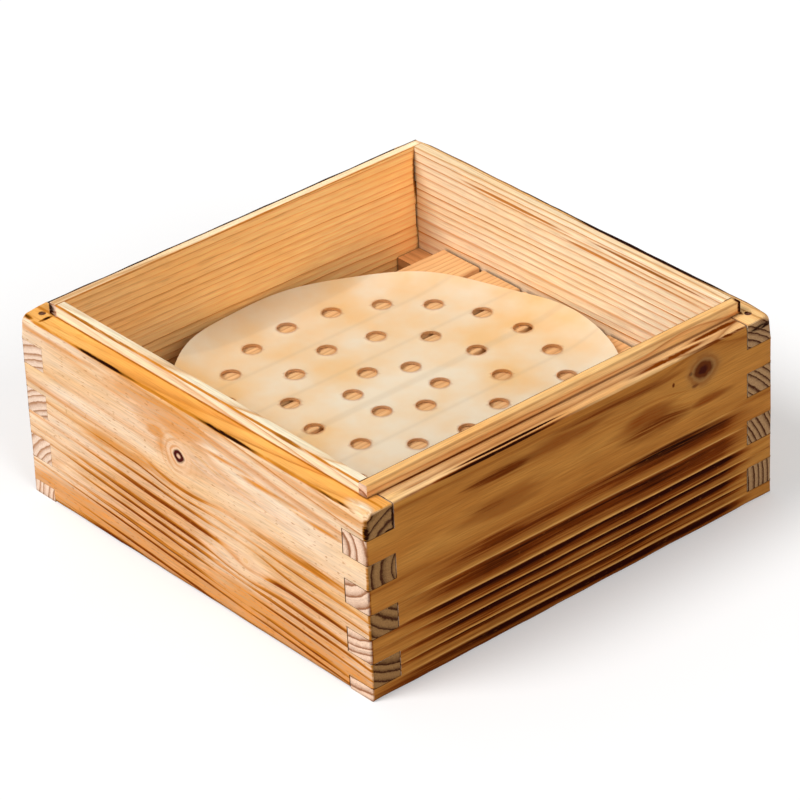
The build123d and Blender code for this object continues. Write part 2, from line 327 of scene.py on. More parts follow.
def boardRings(add, board, place, noises):
    # The grain's height, with its slow sway, its small ripple, and the way it parts round a knot
    along, through, up = add("SeparateXYZ", {0: place})
    height = add("Math", {0: along, 1: board["slope"], 2: up}, operation="MULTIPLY_ADD")[0]
    for kind, most in (("sway", board["sway"]), ("ripple", fir["ripple"])):
        bend = add("MapRange", {0: noises[kind], 1: 0.2, 2: 0.8, 3: -most, 4: most})[0]
        height = add("Math", {0: height, 1: bend}, operation="ADD")[0]
    flameLeft = 1.0
    for knot in board["knots"]:
        (x, z), (reach, rise, strength) = knot["at"], knot["parts"]
        distance = fromSpot(add, place, (x, 0, z), (reach, inf, rise))
        push = add("MapRange", {0: distance, 1: 0, 2: 2, 3: strength, 4: 0},
                   interpolation_type="SMOOTHSTEP")[0]
        above = add("Math", {0: up, 1: z}, operation="SUBTRACT")[0]
        shift = add("Math", {0: above, 1: push}, operation="MULTIPLY")[0]
        height = add("Math", {0: height, 1: shift}, operation="SUBTRACT")[0]
        flame = add("MapRange", {0: distance, 1: 0.3, 2: 1.5, 3: knot["flame"]},
                    interpolation_type="SMOOTHSTEP")[0]
        flameLeft = add("Math", {0: flameLeft, 1: flame}, operation="MULTIPLY")[0]

    # Rings counted out from the pith, wider in the core and a little uneven
    pithThrough, pithUp = board["pith"]
    depth = add("Math", {0: along, 1: board["taper"], 2: through}, operation="MULTIPLY_ADD")[0]
    depth = add("Math", {0: depth, 1: pithThrough}, operation="SUBTRACT")[0]
    overPith = add("Math", {0: height, 1: pithUp}, operation="SUBTRACT")[0]
    spoke = add("CombineXYZ", {0: depth, 1: overPith})[0]
    radius = add("VectorMath", {0: spoke}, operation="LENGTH")["Value"]
    uneven = add("TexNoise", {"W": radius, "Scale": fir["unevenCells"], "Detail": 1},
                 noise_dimensions="1D")[0]
    uneven = add("MapRange", {0: uneven, 1: 0.2, 2: 0.8, 3: -board["uneven"], 4: board["uneven"]})[0]
    coreRadius, coreGap = board["core"]
    beyond = add("Math", {0: radius, 1: coreRadius}, operation="SUBTRACT")[0]
    coreRings = add("Math", {0: beyond, 1: 1 / coreGap}, operation="MULTIPLY")[0]
    rings = add("Math", {0: beyond, 1: 1 / board["gap"]}, operation="MULTIPLY")[0]
    rings = add("Math", {0: rings, 1: coreRings}, operation="MAXIMUM")[0]
    for more in (coreRadius / board["gap"] + board["phase"], uneven):
        rings = add("Math", {0: rings, 1: more}, operation="ADD")[0]

    streakPlace = add("CombineXYZ", {0: along, 1: depth, 2: height})[0]
    streakPlace = add("Mapping", {"Vector": streakPlace, "Scale": [1 / c for c in fir["streakCell"]]})[0]
    streaks = add("TexNoise", {"Vector": streakPlace, "Scale": 1, "Detail": 4, "Roughness": 0.65})[0]
    return rings, flameLeft, streaks


def boardTones(add, board, place):
    # Zones with their own tones: the inner and outer faces, the shelf with the lip, and the lip
    through, up = add("SeparateXYZ", {0: place})[1:]
    zones = {kind: add("MapRange", {0: through, 1: low, 2: high})[0]
             for kind, low, high in (("outer", 12, 15), ("inner", 8, 5), ("offInner", 0.1, 0.6))}
    for kind, low, high in (("rim", -1, -0.4), ("lip", 0.2, 0.8)):
        zone = add("MapRange", {0: up, 1: shelfTop / mm + low, 2: shelfTop / mm + high})[0]
        zones[kind] = add("Math", {0: zone, 1: zones["offInner"]}, operation="MULTIPLY")[0]
    tones = []
    for outer, *others in zip(board["outer"], board["inner"], board["top"], board["lip"]):
        tone = hexColour(outer)
        for kind, other in zip(("inner", "rim", "lip"), others):
            tone = add("Mix", {0: zones[kind], 6: tone, 7: hexColour(other)}, data_type="RGBA")[2]
        tones.append(tone)
    return zones, tones


def boardMarks(add, board, place, noises, toasted):
    # Spots at arrises and knots, ragged along the grain, and stains, soft and wavering
    ragged = add("MapRange", {0: noises["streak"], 1: 0.32, 2: 0.68, 3: 0.25, 4: 1.35})[0]
    soft = add("MapRange", {0: noises["fibre"], 1: 0.3, 2: 0.7, 3: 0.7, 4: 1.2})[0]
    sideways = add("Math", {0: noises["ripple"], 1: 1.6, 2: -0.8}, operation="MULTIPLY_ADD")[0]
    scorched = bared = 0.0
    marks = [(*mark, 0) for mark in board["marks"]] + [(*spot, 0, 0, 1) for spot in board["bared"]]
    for spot, reach, char, toast, pale in marks:
        distance = fromSpot(add, place, spot, reach)
        stain = not (char or pale)
        if stain:
            distance = add("Math", {0: distance, 1: sideways}, operation="ADD")[0]
        share = add("MapRange", {0: distance, 1: 0.25, 2: 1.1, 3: 1, 4: 0},
                    interpolation_type="SMOOTHSTEP")[0]
        share = add("Math", {0: share, 1: soft if stain else ragged}, operation="MULTIPLY")[0]
        if toast:
            spotToast = add("Math", {0: share, 1: toast}, operation="MULTIPLY")[0]
            toasted = add("Math", {0: toasted, 1: spotToast}, operation="MAXIMUM")[0]
        if char:
            spotChar = add("Math", {0: share, 1: char}, operation="MULTIPLY", use_clamp=True)[0]
            scorched = add("Math", {0: scorched, 1: spotChar}, operation="MAXIMUM")[0]
        if pale:
            bared = add("Math", {0: bared, 1: share}, operation="MAXIMUM", use_clamp=True)[0]
    return toasted, scorched, bared


def knotFaces(add, board, place, noises, outerZone, lateTone, colour):
    # Knots: an edge round the core, a halo in the wood beside them, and swirls of late wood
    along = add("SeparateXYZ", {0: place})[0]
    for knot in board["knots"]:
        (x, z), (wide, tall), (left, right, swirlReach) = knot["at"], knot["size"], knot["swirl"]
        distance = fromSpot(add, place, (x, 0, z), (wide, inf, tall))
        for kind, most in (("ripple", 0.9), ("edge", 0.5)):
            distance = add("Math", {0: noises[kind], 1: most, 2: distance}, operation="MULTIPLY_ADD")[0]
        swirl = add("Math", {0: distance, 1: 6.0}, operation="MULTIPLY")[0]
        swirl = add("Math", {0: swirl}, operation="SINE")[0]
        swirlFade = add("MapRange", {0: distance, 1: 1.8, 2: swirlReach, 3: 1, 4: 0})[0]
        swirlSide = add("MapRange", {0: along, 1: x - wide, 2: x + wide, 3: left, 4: right})[0]
        for share in (swirlFade, swirlSide):
            swirl = add("Math", {0: swirl, 1: share}, operation="MULTIPLY", use_clamp=True)[0]
        halo = add("MapRange", {0: distance, 1: 1.7, 2: 1.7 + knot["halo"], 3: 0.75, 4: 0},
                   interpolation_type="SMOOTHSTEP")[0]
        edge = add("MapRange", {0: distance, 1: 1.6, 2: 1.95, 3: 1, 4: 0})[0]
        core = add("MapRange", {0: distance, 1: knot["core"], 2: knot["core"] + 0.3, 3: 1, 4: 0})[0]
        haloTone, edgeTone, coreTone = [hexColour(tone) for tone in knot["tones"]]
        for share, tone in ((halo, haloTone), (swirl, lateTone), (edge, edgeTone), (core, coreTone)):
            share = add("Math", {0: outerZone, 1: share}, operation="MULTIPLY")[0]
            colour = add("Mix", {0: share, 6: colour, 7: tone}, data_type="RGBA")[2]
    return colour


def endGrain(add, board, noises, rings, scorched):
    # The finger ends: sawn across, with arcs of dark late wood and open pores
    rings = add("Math", {0: rings, 1: board["endRings"]}, operation="MULTIPLY")[0]
    ringPart = add("Math", {0: noises["edge"], 1: 0.28, 2: rings}, operation="MULTIPLY_ADD")[0]
    ringPart = add("Math", {0: ringPart}, operation="FRACT")[0]
    arcs = add("ValToRGB", {0: ringPart}, stops=fir["arcs"])[0]
    pores = add("MapRange", {0: noises["pore"], 1: 0.3, 2: 0.7, 3: -0.16, 4: 0.2})[0]
    dark = add("Math", {0: arcs, 1: pores}, operation="ADD", use_clamp=True)[0]
    pale, line = [hexColour(tone) for tone in board["end"]]
    colour = add("Mix", {0: dark, 6: pale, 7: line}, data_type="RGBA")[2]
    return add("Mix", {0: scorched, 6: colour, 7: hexColour(fir["scorch"])}, data_type="RGBA")[2]


def firBoard(name, board, crossing, side):
    # Planed fir, flamed with a torch and brushed: early wood burns brown and is brushed out,
    # late wood stays as thin bright ridges, and the end grain drinks and greys
    material, tree, add, shader = newMaterial(name)
    place = add("TexCoord")["Object"]
    place = add("Mapping", {
        "Vector": place, "Location": (0, -inner / mm, 0), "Rotation": (0, 0, 0 if crossing else pi / 2),
        "Scale": (1 / mm, side / mm, 1 / mm) if crossing else (side / mm, -1 / mm, 1 / mm)})[0]
    noises = cellNoises(add, place, fir["noises"])
    rings, flameLeft, noises["streak"] = boardRings(add, board, place, noises)
    ringPart = add("Math", {0: rings}, operation="FRACT")[0]
    ringNumber = add("Math", {0: rings}, operation="FLOOR")[0]
    dice = add("TexWhiteNoise", {"W": ringNumber}, noise_dimensions="1D")[0]
    zones, tones = boardTones(add, board, place)

    # Flame: strongest low on the outer face, in streaks between the late-wood lines
    along, _, up = add("SeparateXYZ", {0: place})
    boardHeight = add("Math", {0: up, 1: shelfTop / mm}, operation="DIVIDE")[0]
    boardLength = add("MapRange", {0: along, 1: -half / mm, 2: half / mm})[0]
    heat = add("ValToRGB", {0: boardHeight}, stops=board["flameUp"])[0]
    flameAlong = add("ValToRGB", {0: boardLength}, stops=board["flameAlong"])[0]
    blotch = add("MapRange", {0: noises["blotch"], 1: 0.3, 2: 0.7, 3: 0.75, 4: 1.15})[0]
    for share in (flameAlong, zones["outer"], blotch, flameLeft):
        heat = add("Math", {0: heat, 1: share}, operation="MULTIPLY")[0]
    burnLine = add("ValToRGB", {0: ringPart}, stops=board["burn"])[0]
    broadLine = add("ValToRGB", {0: ringPart}, stops=fir["broadBurn"])[0]
    broadShare = add("ValToRGB", {0: boardHeight}, stops=board["broad"])[0]
    burnLine = add("Mix", {0: broadShare, 2: burnLine, 3: broadLine}, data_type="FLOAT")[0]
    burnChance = add("MapRange", {0: dice, 3: 0.72, 4: 1.1})[0]
    burnStreak = add("MapRange", {0: noises["streak"], 1: 0.35, 2: 0.65, 3: 0.7, 4: 1.22})[0]
    streak = heat
    for share in (burnLine, burnChance, burnStreak):
        streak = add("Math", {0: streak, 1: share}, operation="MULTIPLY")[0]
    toasted = add("MapRange", {0: streak, 1: 0.08, 2: 0.6})[0]
    charred = add("MapRange", {0: streak, 1: 0.5, 2: 1.0})[0]

    # Wood between the lines, in long streaks of tone, with its late wood where the flame is weak
    # and bright ridges where it is strong
    toneShare = add("MapRange", {0: noises["tone"], 1: 0.36, 2: 0.66, 4: 0.75})[0]
    streakShare = add("MapRange", {0: noises["streak"], 1: 0.48, 2: 0.7, 4: 0.7})[0]
    toneShare = add("Math", {0: toneShare, 1: streakShare}, operation="MAXIMUM")[0]
    lateLine = add("ValToRGB", {0: ringPart}, stops=board["late"])[0]
    lateChance = add("MapRange", {0: dice, 3: 0.4})[0]
    lateWood = add("Math", {0: lateLine, 1: lateChance}, operation="MULTIPLY")[0]
    lateShown = add("MapRange", {0: heat, 1: 0.1, 2: 0.45, 3: 1, 4: 0})[0]
    lateShown = add("Math", {0: lateWood, 1: lateShown}, operation="MULTIPLY")[0]
    ridgeTone, ridgeMost = board["ridge"]
    ridgeLine = add("ValToRGB", {0: ringPart}, stops=fir["ridge"])[0]
    ridge = add("MapRange", {0: heat, 1: 0.3, 2: 0.9, 4: ridgeMost})[0]
    ridge = add("Math", {0: ridgeLine, 1: ridge}, operation="MULTIPLY")[0]

    # Toast and char from the flame and the marks, and pale spots of wear and painted highlight, laid over
    # the wood
    toasted, scorched, bared = boardMarks(add, board, place, noises, toasted)
    warmth = add("Math", {0: heat, 1: board["warmth"]}, operation="MULTIPLY")[0]
    toasted = add("Math", {0: toasted, 1: warmth}, operation="MAXIMUM", use_clamp=True)[0]
    colour = tones[0]
    for share, tone in ((toneShare, tones[1]), (lateShown, tones[2]), (ridge, hexColour(ridgeTone)),
                        (toasted, hexColour(board["toast"])), (charred, hexColour(board["char"])),
                        (bared, hexColour(board["lip"][0])), (scorched, hexColour(fir["scorch"]))):
        colour = add("Mix", {0: share, 6: colour, 7: tone}, data_type="RGBA")[2]

    # Fibres, painted light that brightens the inner face along its length, and the short dark dashes of
    # resin canals
    fibreDark = add("MapRange", {0: heat, 1: 0.2, 3: 0.83, 4: 0.72})[0]
    fibreTone = add("MapRange", {0: noises["fibre"], 1: 0.3, 2: 0.7, 3: fibreDark, 4: 1.13})[0]
    paintedLightFrom, paintedLightTo = board["innerFade"]
    paintedLight = add("MapRange", {0: boardLength, 3: paintedLightFrom, 4: paintedLightTo})[0]
    paintedLight = add("Mix", {0: zones["inner"], 2: 1.0, 3: paintedLight}, data_type="FLOAT")[0]
    fibreTone = add("Math", {0: fibreTone, 1: paintedLight}, operation="MULTIPLY")[0]
    colour = add("VectorMath", {0: colour, "Scale": fibreTone}, operation="SCALE")[0]
    dashes = add("MapRange", {0: noises["dash"], 1: 0.7, 2: 0.76, 4: board["dashes"]})[0]
    offRim = add("Math", {0: 1.0, 1: zones["rim"]}, operation="SUBTRACT")[0]
    for share in (zones["outer"], offRim):
        dashes = add("Math", {0: dashes, 1: share}, operation="MULTIPLY")[0]
    colour = add("Mix", {0: dashes, 6: colour, 7: hexColour(fir["canal"])}, data_type="RGBA")[2]
    colour = knotFaces(add, board, place, noises, zones["outer"], tones[2], colour)

    normal = add("NewGeometry")["True Normal"]
    facing = add("SeparateXYZ", {0: normal})[0 if crossing else 1]
    facing = add("Math", {0: facing}, operation="ABSOLUTE")[0]
    endShare = add("MapRange", {0: facing, 1: 0.6, 2: 0.85})[0]
    endColour = endGrain(add, board, noises, rings, scorched)
    colour = add("Mix", {0: endShare, 6: colour, 7: endColour}, data_type="RGBA")[2]

    # Dust and scorch that stay in the joints, with painted shade: darker wherever ambient occlusion finds a
    # joint, hollow or inside corner
    openness = add("AmbientOcclusion", {"Distance": fir["dustReach"]}, samples=6)["AO"]
    creviceDustAndShade = add("MapRange", {0: openness, 1: 0.25, 2: 0.8, 3: 0.75, 4: 0})[0]
    colour = add("Mix", {0: creviceDustAndShade, 6: colour, 7: hexColour(fir["dust"])}, data_type="RGBA")[2]
    tree.links.new(colour, shader.inputs["Base Color"])

    shader.inputs["Specular IOR Level"].default_value = 0.03
    rough = add("Math", {0: charred, 1: scorched}, operation="MAXIMUM")[0]
    rough = add("MapRange", {0: rough, 3: 0.52, 4: 0.85})[0]
    tree.links.new(rough, shader.inputs["Roughness"])
    valley = add("Math", {0: streak, 1: -0.9, 2: lateWood}, operation="MULTIPLY_ADD")[0]
    relief = add("Math", {0: noises["fibre"], 1: 0.45, 2: valley}, operation="MULTIPLY_ADD")[0]
    bump = add("Bump", {"Strength": 0.8, "Distance": fir["relief"], "Height": relief})[0]
    tree.links.new(bump, shader.inputs["Normal"])
    return material


# Pale fir of the floor: cells in millimetres along, across and up a board
floorFir = {
    "noises": {"sway": ((90, 18, 18), 2), "fibre": ((14, 0.8, 0.8), 3)},
    "sway": 9,
    "apart": 40,  # most that chance moves a board's grain aside
    "late": ((0, 0.35), (0.1, 0.05), (0.5, 0.1), (0.85, 0.6), (0.94, 0.95), (1, 0.35)),
    "tones": ("#F3C48A", "#E6A463", "#BC783C"),
    "relief": 0.2 * mm,
}


def paleFir(name, alongX, pitch, shift, gap):
    # Planed fir without flame, for the slats and cleats: straight fine lines, pale and dry
    material, tree, add, shader = newMaterial(name)
    place = add("TexCoord")["Object"]
    place = add("Mapping", {"Vector": place, "Scale": (1 / mm, 1 / mm, 1 / mm)})[0]
    across, along, up = add("SeparateXYZ", {0: place})
    if alongX:
        across, along = along, across
    boardNumber = add("Math", {0: across, 1: 1 / pitch, 2: shift}, operation="MULTIPLY_ADD")[0]
    boardNumber = add("Math", {0: boardNumber}, operation="FLOOR")[0]
    dice = add("TexWhiteNoise", {"W": boardNumber}, noise_dimensions="1D")[0]
    shifted = add("Math", {0: dice, 1: floorFir["apart"], 2: across}, operation="MULTIPLY_ADD")[0]
    grainPlace = add("CombineXYZ", {0: along, 1: shifted, 2: up})[0]
    noises = cellNoises(add, grainPlace, floorFir["noises"])
    bent = add("Math", {0: noises["sway"], 1: floorFir["sway"], 2: shifted}, operation="MULTIPLY_ADD")[0]
    bent = add("Math", {0: up, 1: 0.8, 2: bent}, operation="MULTIPLY_ADD")[0]
    rings = add("Math", {0: bent, 1: 1 / gap}, operation="MULTIPLY")[0]
    ringPart = add("Math", {0: rings}, operation="FRACT")[0]
    lateWood = add("ValToRGB", {0: ringPart}, stops=floorFir["late"])[0]
    lateShare = add("Math", {0: lateWood, 1: 0.65}, operation="MULTIPLY")[0]
    toneShare = add("Math", {0: dice, 1: 0.6, 2: 0.1}, operation="MULTIPLY_ADD")[0]
    colour, *others = [hexColour(tone) for tone in floorFir["tones"]]
    for share, tone in zip((toneShare, lateShare), others):
        colour = add("Mix", {0: share, 6: colour, 7: tone}, data_type="RGBA")[2]
    fibreTone = add("MapRange", {0: noises["fibre"], 1: 0.3, 2: 0.7, 3: 0.88, 4: 1.06})[0]
    colour = add("VectorMath", {0: colour, "Scale": fibreTone}, operation="SCALE")[0]
    tree.links.new(colour, shader.inputs["Base Color"])
    relief = add("Math", {0: noises["fibre"], 1: 0.5, 2: lateWood}, operation="MULTIPLY_ADD")[0]
    bump = add("Bump", {"Strength": 0.6, "Distance": floorFir["relief"], "Height": relief})[0]
    tree.links.new(bump, shader.inputs["Normal"])
    shader.inputs["Roughness"].default_value = 0.6
    return material


def nailSteel(name):
    # Drawn steel wire: dull grey, browned by steam in blotches of about a millimetre
    material, tree, add, shader = newMaterial(name)
    place = add("TexCoord")["Object"]
    rustNoise = add("TexNoise", {"Vector": place, "Scale": 0.9 / mm, "Detail": 3})[0]
    rust = add("MapRange", {0: rustNoise, 1: 0.22, 2: 0.46})[0]
    steelTone, rustTone = hexColour("#8A7A68"), hexColour("#5E2E12")
    colour = add("Mix", {0: rust, 6: steelTone, 7: rustTone}, data_type="RGBA")[2]
    metal = add("MapRange", {0: rust, 3: 1, 4: 0.2})[0]
    rough = add("MapRange", {0: rust, 3: 0.38, 4: 0.8})[0]
    for socket, value in (("Base Color", colour), ("Metallic", metal), ("Roughness", rough)):
        tree.links.new(value, shader.inputs[socket])
    return material


# Silicone sheet: how close its mottles and the cells of its skin lie, and the skin's depth
silicone = {
    "mottles": 0.026 / mm,
    "skinCells": 0.32 / mm,
    "skinDepth": 0.12 * mm,
}


def siliconeSheet(name):
    # Milky silicone rubber, moulded thin: soft sheen, light passes into it, faint mottling, darker
    # at the holes, and painted shade faintly over the gaps between the slats, where the dark gaps would show
    # through
    material, tree, add, shader = newMaterial(name)
    place = add("TexCoord")["Object"]
    mottleNoise = add("TexNoise", {"Vector": place, "Scale": silicone["mottles"], "Detail": 4})[0]
    mottle = add("MapRange", {0: mottleNoise, 1: 0.35, 2: 0.65})[0]
    # Painted shade over the gaps between the slats
    overGap = add("Attribute", attribute_name="overGap")["Fac"]
    overGap = add("MapRange", {0: overGap, 1: 0.1, 4: 0.18})[0]
    holeEdge = add("Attribute", attribute_name="holeEdge")["Fac"]
    holeEdge = add("MapRange", {0: holeEdge, 1: 0.3, 4: 0.75})[0]
    colour = hexColour("#FFF0D4")
    for share, tone in ((mottle, "#FFD698"), (overGap, "#C4AC88"), (holeEdge, "#C07A32")):
        colour = add("Mix", {0: share, 6: colour, 7: hexColour(tone)}, data_type="RGBA")[2]
    tree.links.new(colour, shader.inputs["Base Color"])
    shader.inputs["Roughness"].default_value = 0.42
    shader.inputs["IOR"].default_value = 1.41
    shader.inputs["Transmission Weight"].default_value = 0.25
    skinNoise = add("TexNoise", {"Vector": place, "Scale": silicone["skinCells"], "Detail": 2})[0]
    bump = add("Bump", {"Strength": 0.35, "Distance": silicone["skinDepth"], "Height": skinNoise})[0]
    tree.links.new(bump, shader.inputs["Normal"])
    return material


print("materials ready")


def pickNone():
    bpy.ops.object.select_all(action="DESELECT")


def pickPiece(piece):
    pickNone()
    bpy.context.view_layer.objects.active = piece
    piece.select_set(True)


def addBlock(name, low, high):
    low, high = Vector(low), Vector(high)
    pickNone()
    bpy.ops.mesh.primitive_cube_add(size=1, location=(low + high) / 2, scale=high - low)
    bpy.ops.object.transform_apply(location=True, rotation=True, scale=True)
    block = bpy.context.object
    block.name = name
    return block


def addPin(radius, depth, sides, place):
    pickNone()
    bpy.ops.mesh.primitive_cylinder_add(vertices=sides, radius=radius, depth=depth, location=place)
    return bpy.context.object


def copyPiece(piece, shift):
    copy = piece.copy()
    copy.data = piece.data.copy()
    copy.data.transform(Matrix.Translation(shift))
    bpy.context.scene.collection.objects.link(copy)
    return copy


def applyModifier(piece, kind, **settings):
    pickPiece(piece)
    modifier = piece.modifiers.new(kind.lower(), kind)
    for name, value in settings.items():
        setattr(modifier, name, value)
    bpy.ops.object.modifier_apply(modifier=modifier.name)


def cutWith(piece, cutter, operation="DIFFERENCE"):
    applyModifier(piece, "BOOLEAN", operation=operation, solver="EXACT", object=cutter)
    bpy.data.objects.remove(cutter)


def editPiece(piece):
    pickPiece(piece)
    bpy.ops.object.mode_set(mode="EDIT")


def pickEdges(piece, wanted):
    editPiece(piece)
    bpy.ops.mesh.select_mode(type="EDGE")
    bpy.ops.mesh.select_all(action="DESELECT")
    bpy.ops.object.mode_set(mode="OBJECT")
    points = [v.co for v in piece.data.vertices]
    for edge in piece.data.edges:
        edge.select = wanted([points[n] for n in edge.vertices])
    bpy.ops.object.mode_set(mode="EDIT")


def slicePiece(piece, places, direction):
    editPiece(piece)
    for place in places:
        bpy.ops.mesh.select_all(action="SELECT")
        bpy.ops.mesh.bisect(plane_co=[place * d for d in direction], plane_no=direction)
    bpy.ops.object.mode_set(mode="OBJECT")


def paint(piece, material):
    piece.data.materials.clear()
    piece.data.materials.append(material)


def setPiece(piece, body, material, node):
    paint(piece, material)
    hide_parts(node)
    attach(piece, body)


# Walls: a board with its fingers, stacking shelf and lip, foot rebate, and worn arrises
wallShape = {
    "finger": 13 * mm,
    "jointGap": 0.14 * mm,  # saw play that shows as a dark line round each finger
    "shoulderGap": 0.6 * mm,
    "tightGap": 0.05 * mm,  # the same two at the left corner, where the fingers hardly show
    "tightShoulder": 0.12 * mm,
    "lip": 5.5 * mm,
    "rebateDepth": 7 * mm,
    "rebateEdge": 10 * mm,
    "arris": 1.2 * mm,
    "fingerArris": 0.3 * mm,
    "lipArris": 0.7 * mm,
    "arrisSteps": 3,
    "sharp": radians(60),
    "smooth": radians(35),
    "sliceLength": 5.5 * mm,
    "edgeSlice": 4 * mm,
    "cornerRound": 4.4 * mm,
    "cornerReach": 13 * mm,
    "cornerSwell": 0.8,  # how soon the round widens towards the corner
    "cornerSlices": (1.4 * mm, 2.1 * mm, 2.9 * mm, 3.8 * mm, 4.9 * mm),
    "wear": 0.9 * mm,  # deepest dent in an arris
    "wearLevel": 0.25,
    "wearReach": 2.4 * mm,
    "wearCell": 14 * mm,
    "nailInset": 8 * mm,
    "nailPocket": (1.85 * mm, 1.6 * mm),  # radius and depth round a corner nail's head
    "nailSides": 24,
}
tiny = 0.02 * mm
spare = 2 * mm


def ownedLevels(crossing):
    # Finger heights that belong to this board, counted down from the shelf
    count = int(shelfTop / wallShape["finger"]) + 1
    tops = [shelfTop - n * wallShape["finger"] for n in range(count)]
    levels = [(max(top - wallShape["finger"], 0), top) for top in tops]
    return levels[0::2] if crossing else levels[1::2]


def lieOn(points, axis, *places):
    return any(all(abs(point[axis] - place) < tiny for point in points) for place in places)


def cutWall(name, crossing, side):
    # Crossing boards run along X and own the top fingers; the others run along Y and own the lip's
    # corners
    run, deep = (0, 1) if crossing else (1, 0)

    def block(title, runs, deeps, ups):
        low, high = [0, 0, ups[0]], [0, 0, ups[1]]
        low[run], high[run] = sorted(runs)
        low[deep], high[deep] = sorted(side * d for d in deeps)
        return addBlock(title, low, high)

    lipOut = inner + wallShape["lip"]
    rebateOut = half - wallShape["rebateEdge"]
    through, above = (inner - spare, half + spare), (shelfTop, rimTop + spare)
    piece = block(name + "_wood", (-half, half), (inner, half), (0, rimTop))
    cuts = [((-half - spare, half + spare), (lipOut, half + spare), above)]
    for end in (-1, 1):
        cuts.append(((end * (inner if crossing else lipOut), end * (half + spare)), through, above))
        tight = side < 0 and end < 0
        play, shoulder = [wallShape[key] for key in (
            ("tightGap", "tightShoulder") if tight else ("jointGap", "shoulderGap"))]
        for bottom, top in ownedLevels(not crossing):
            ups = (bottom - play if bottom > 0 else -spare, top + play)
            cuts.append(((end * (inner - shoulder), end * (half + spare)), through, ups))
    cuts.append(((-rebateOut, rebateOut), (inner - spare, rebateOut), (-spare, wallShape["rebateDepth"])))
    for runs, deeps, ups in cuts:
        cutWith(piece, block("cutter", runs, deeps, ups))

    if crossing:
        # The head at the nearest corner is filled over, so it has no pocket
        radius, depth = wallShape["nailPocket"]
        nail = half - wallShape["nailInset"]
        for end in (-1, 1) if side > 0 else (-1,):
            place = (end * nail, side * nail, shelfTop)
            cutWith(piece, addPin(radius, 2 * depth, wallShape["nailSides"], place))
    return piece


def sliceWall(piece, crossing, side):
    # Cuts across the board, so that its arrises can wear unevenly along their length
    count = round(2 * half / wallShape["sliceLength"])
    slicePiece(piece, [(n / count - 0.5) * 2 * half for n in range(1, count)],
               (1, 0, 0) if crossing else (0, 1, 0))
    slicePiece(piece, (wallShape["edgeSlice"], shelfTop - wallShape["edgeSlice"]), (0, 0, 1))
    for inset in wallShape["cornerSlices"] if crossing else ():
        slicePiece(piece, (-half + inset, half - inset), (1, 0, 0))
        slicePiece(piece, (side * (half - inset),), (0, 1, 0))
        slicePiece(piece, (shelfTop - inset,), (0, 0, 1))


def roundArrises(piece, crossing, side):
    run, deep = (0, 1) if crossing else (1, 0)

    def isOuterArris(ends):
        atEnd = lieOn(ends, run, -half, half)
        if lieOn(ends, deep, side * half):
            return atEnd or lieOn(ends, 2, 0, shelfTop)
        return crossing and atEnd and lieOn(ends, 2, shelfTop)

    def isLipArris(ends):
        return lieOn(ends, 2, rimTop) and lieOn(ends, deep, side * inner, side * (inner + wallShape["lip"]))

    for wanted, width in ((isOuterArris, wallShape["arris"]), (isLipArris, wallShape["lipArris"])):
        pickEdges(piece, wanted)
        bpy.ops.mesh.bevel(offset=width, segments=wallShape["arrisSteps"], affect="EDGES",
                           clamp_overlap=True)
        bpy.ops.object.mode_set(mode="OBJECT")
    applyModifier(piece, "BEVEL", width=wallShape["fingerArris"], segments=2, limit_method="ANGLE",
                  angle_limit=wallShape["sharp"], use_clamp_overlap=True)


def knockCorners(piece, side):
    # The shelf's outer corners, knocked round: the arrises widen towards them. Gives how near each
    # point is to a corner.
    nearness = {}
    for vertex in piece.data.vertices:
        gaps = Vector((half - abs(vertex.co.x), half - side * vertex.co.y, shelfTop - vertex.co.z))
        near = max(0.0, 1 - gaps.length / wallShape["cornerReach"])
        swell = (wallShape["cornerRound"] - wallShape["arris"]) * near ** wallShape["cornerSwell"]
        ball = wallShape["arris"] + swell
        over = Vector([max(ball - gap, 0.0) for gap in gaps])
        nearness[vertex.index] = near
        if near > 0 and gaps.z > -tiny and over.length > ball:
            gaps = Vector([ball - o if o else gap for o, gap in zip(over.normalized() * ball, gaps)])
            vertex.co = Vector((
                (half - gaps.x) * (1 if vertex.co.x > 0 else -1), side * (half - gaps.y), shelfTop - gaps.z))
    return nearness


def wearArrises(piece, crossing, side, nearness):
    # Arrises dented inwards, less towards the knocked corners
    run, deep = (0, 1) if crossing else (1, 0)
    worn = piece.vertex_groups.new(name="arris")
    reach = wallShape["wearReach"]
    for vertex in piece.data.vertices:
        co = vertex.co
        toFace = abs(co[deep] - side * half)
        toEdge = min(abs(co.z), abs(co.z - shelfTop))
        toEnd = half - abs(co[run])
        near = max(toFace, min(toEdge, toEnd))
        if co.z <= shelfTop + tiny and near < reach:
            worn.add([vertex.index], (1 - near / reach) * (1 - nearness.get(vertex.index, 0)), "REPLACE")
    dents = bpy.data.textures.new("dents", "CLOUDS")
    dents.noise_scale = wallShape["wearCell"]
    dents.noise_depth = 2
    applyModifier(piece, "DISPLACE", texture=dents, strength=-wallShape["wear"], texture_coords="LOCAL",
                  mid_level=wallShape["wearLevel"], vertex_group="arris", direction="NORMAL")
    piece.vertex_groups.clear()


for name, crossing, side in (("front_wall", True, -1), ("back_wall", True, 1),
                             ("left_wall", False, -1), ("right_wall", False, 1)):
    piece = cutWall(name, crossing, side)
    sliceWall(piece, crossing, side)
    roundArrises(piece, crossing, side)
    wearArrises(piece, crossing, side, knockCorners(piece, side) if crossing else {})
    bpy.ops.object.shade_smooth_by_angle(angle=wallShape["smooth"])
    wood = firBoard("flamed_fir_" + name, {**plainBoard, **firBoards[name]}, crossing, side)
    setPiece(piece, "basket", wood, name)
    print(name, "modelled")

